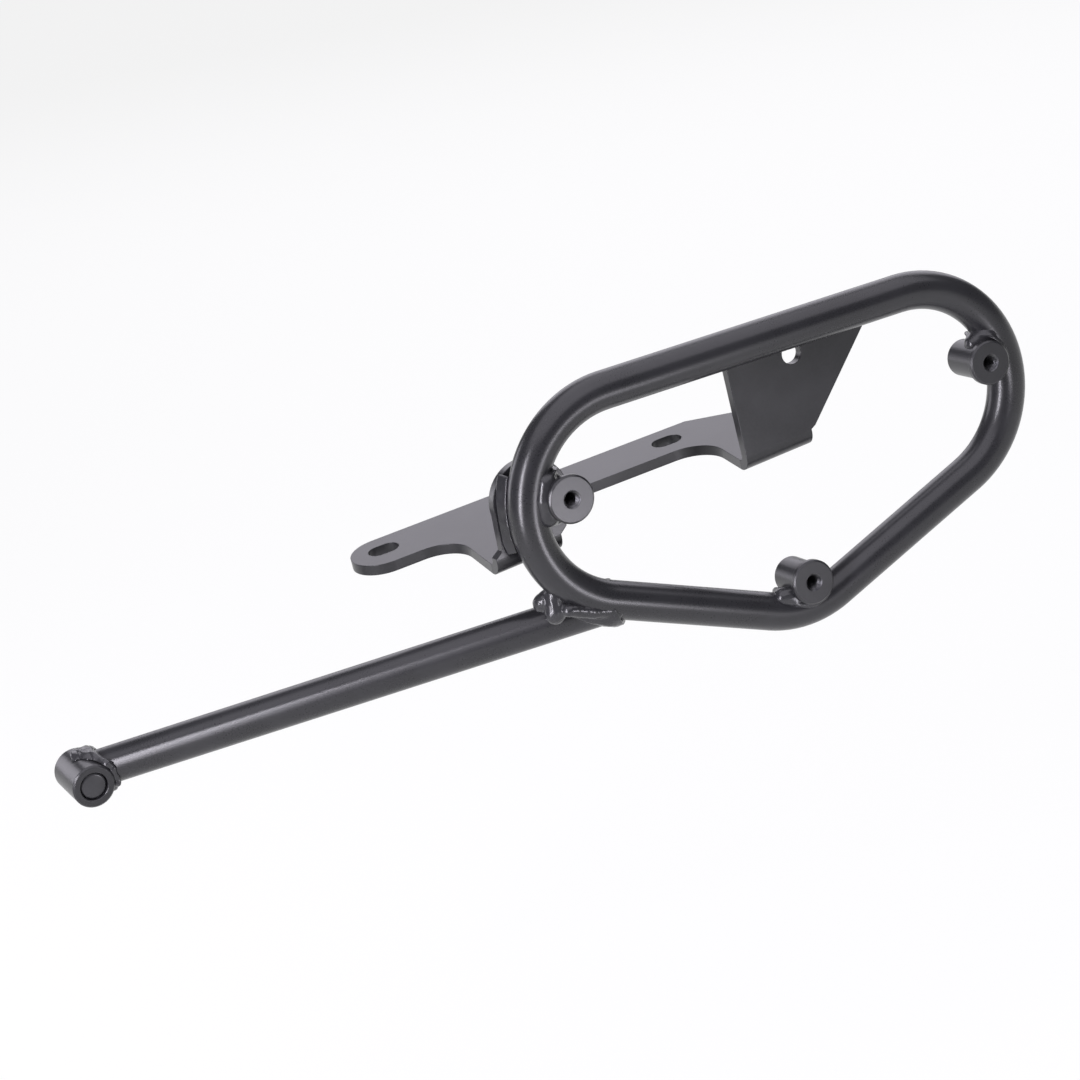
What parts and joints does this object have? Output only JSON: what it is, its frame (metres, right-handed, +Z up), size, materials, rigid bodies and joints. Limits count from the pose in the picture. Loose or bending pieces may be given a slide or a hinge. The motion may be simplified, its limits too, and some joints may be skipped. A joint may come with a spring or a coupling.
{
  "type": "pannier frame",
  "caption": "Motorbike side carrier frame: bent tube hoop with threaded bosses, folded slotted bracket plate and a strut ending in a sleeve, all powder-coated steel.",
  "frame": {"origin": "midway between the two slots, on the top face of the bracket plate", "axes": "+X towards the back of the bike along the line of the slots, +Y inboard, +Z up, square to the plate"},
  "size_m": [0.4804, 0.137, 0.1519],
  "materials": {
    "powder_coat": "satin black powder coat with a fine grain",
    "weld_bead": "the same coat over rippled weld beads"
  },
  "bodies": {
    "root": {"hoop_tube": "powder_coat", "strut_tube": "powder_coat", "mount_plate": "powder_coat", "front_boss": "powder_coat", "rear_boss": "powder_coat", "lower_boss": "powder_coat", "eye_sleeve": "powder_coat", "eye_insert": "powder_coat", "weld_front_boss": "weld_bead", "weld_rear_boss": "weld_bead", "weld_lower_boss": "weld_bead", "weld_strut": "weld_bead", "weld_eye": "weld_bead", "weld_ear_outer": "weld_bead", "weld_ear_inner": "weld_bead", "weld_gusset_front": "weld_bead", "weld_gusset_rear": "weld_bead"}
  },
  "joints": []
}
